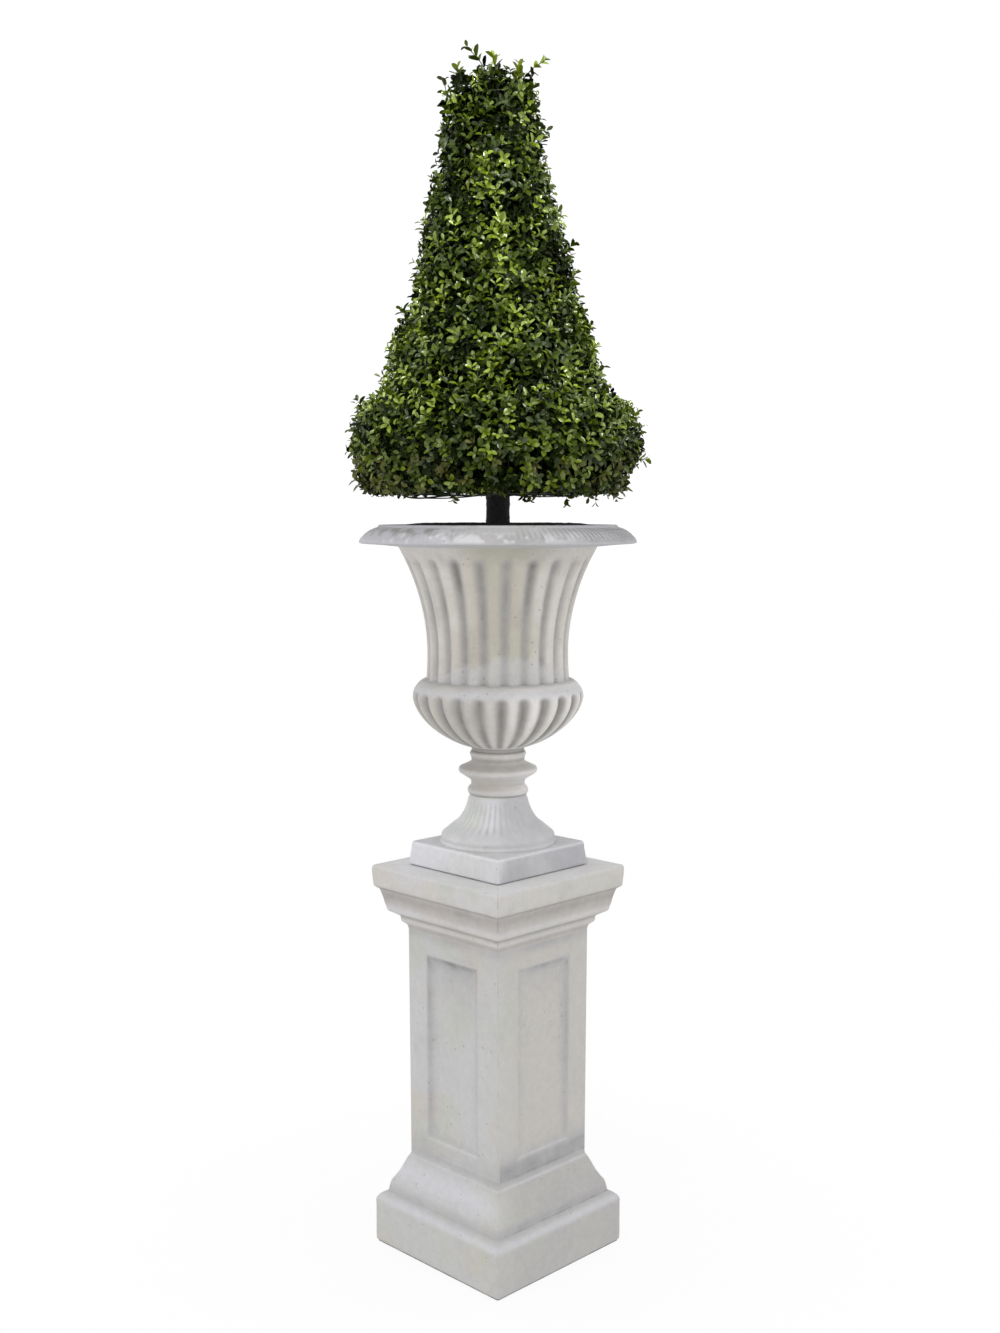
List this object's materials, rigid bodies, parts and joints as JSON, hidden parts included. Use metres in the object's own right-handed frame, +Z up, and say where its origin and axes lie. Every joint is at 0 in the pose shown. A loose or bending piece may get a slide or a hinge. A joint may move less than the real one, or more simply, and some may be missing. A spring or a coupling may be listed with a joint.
{
  "type": "artificial boxwood cone topiary in a fluted urn on a pedestal",
  "caption": "Artificial clipped boxwood cone on a dark pole, planted in a fluted campana urn that stands on a square pedestal with sunk panels.",
  "frame": {"origin": "centre of the pedestal's flat underside, at the level it stands on", "axes": "+Z up along the shared axis of pedestal, urn and pole; +X and +Y square to the pedestal's faces"},
  "size_m": [0.6441, 0.6416, 2.628],
  "materials": {
    "cast_stone": "matte weathered cast stone, pale grey",
    "urn_stone": "matte weathered cast stone, cream grey",
    "planting_medium": "crumbly near-black planting medium",
    "pole": "rough black bark-like pole",
    "cage_wire": "black coated wire",
    "boxwood": "semi-gloss moulded leaves in several greens"
  },
  "bodies": {
    "root": {"pedestal_base": "cast_stone", "pedestal_shaft": "cast_stone", "pedestal_cap": "cast_stone", "urn_plinth": "urn_stone", "urn_foot": "urn_stone", "urn_stem": "urn_stone", "urn_bowl": "urn_stone", "urn_body": "urn_stone", "urn_rim": "urn_stone", "urn_fill": "planting_medium", "trunk": "pole", "cage_wheel": "cage_wire", "foliage_skirt": "boxwood", "foliage_lower": "boxwood", "foliage_middle": "boxwood", "foliage_upper": "boxwood", "foliage_top": "boxwood", "sprig_tall": "boxwood", "sprig_short": "boxwood"}
  },
  "joints": []
}
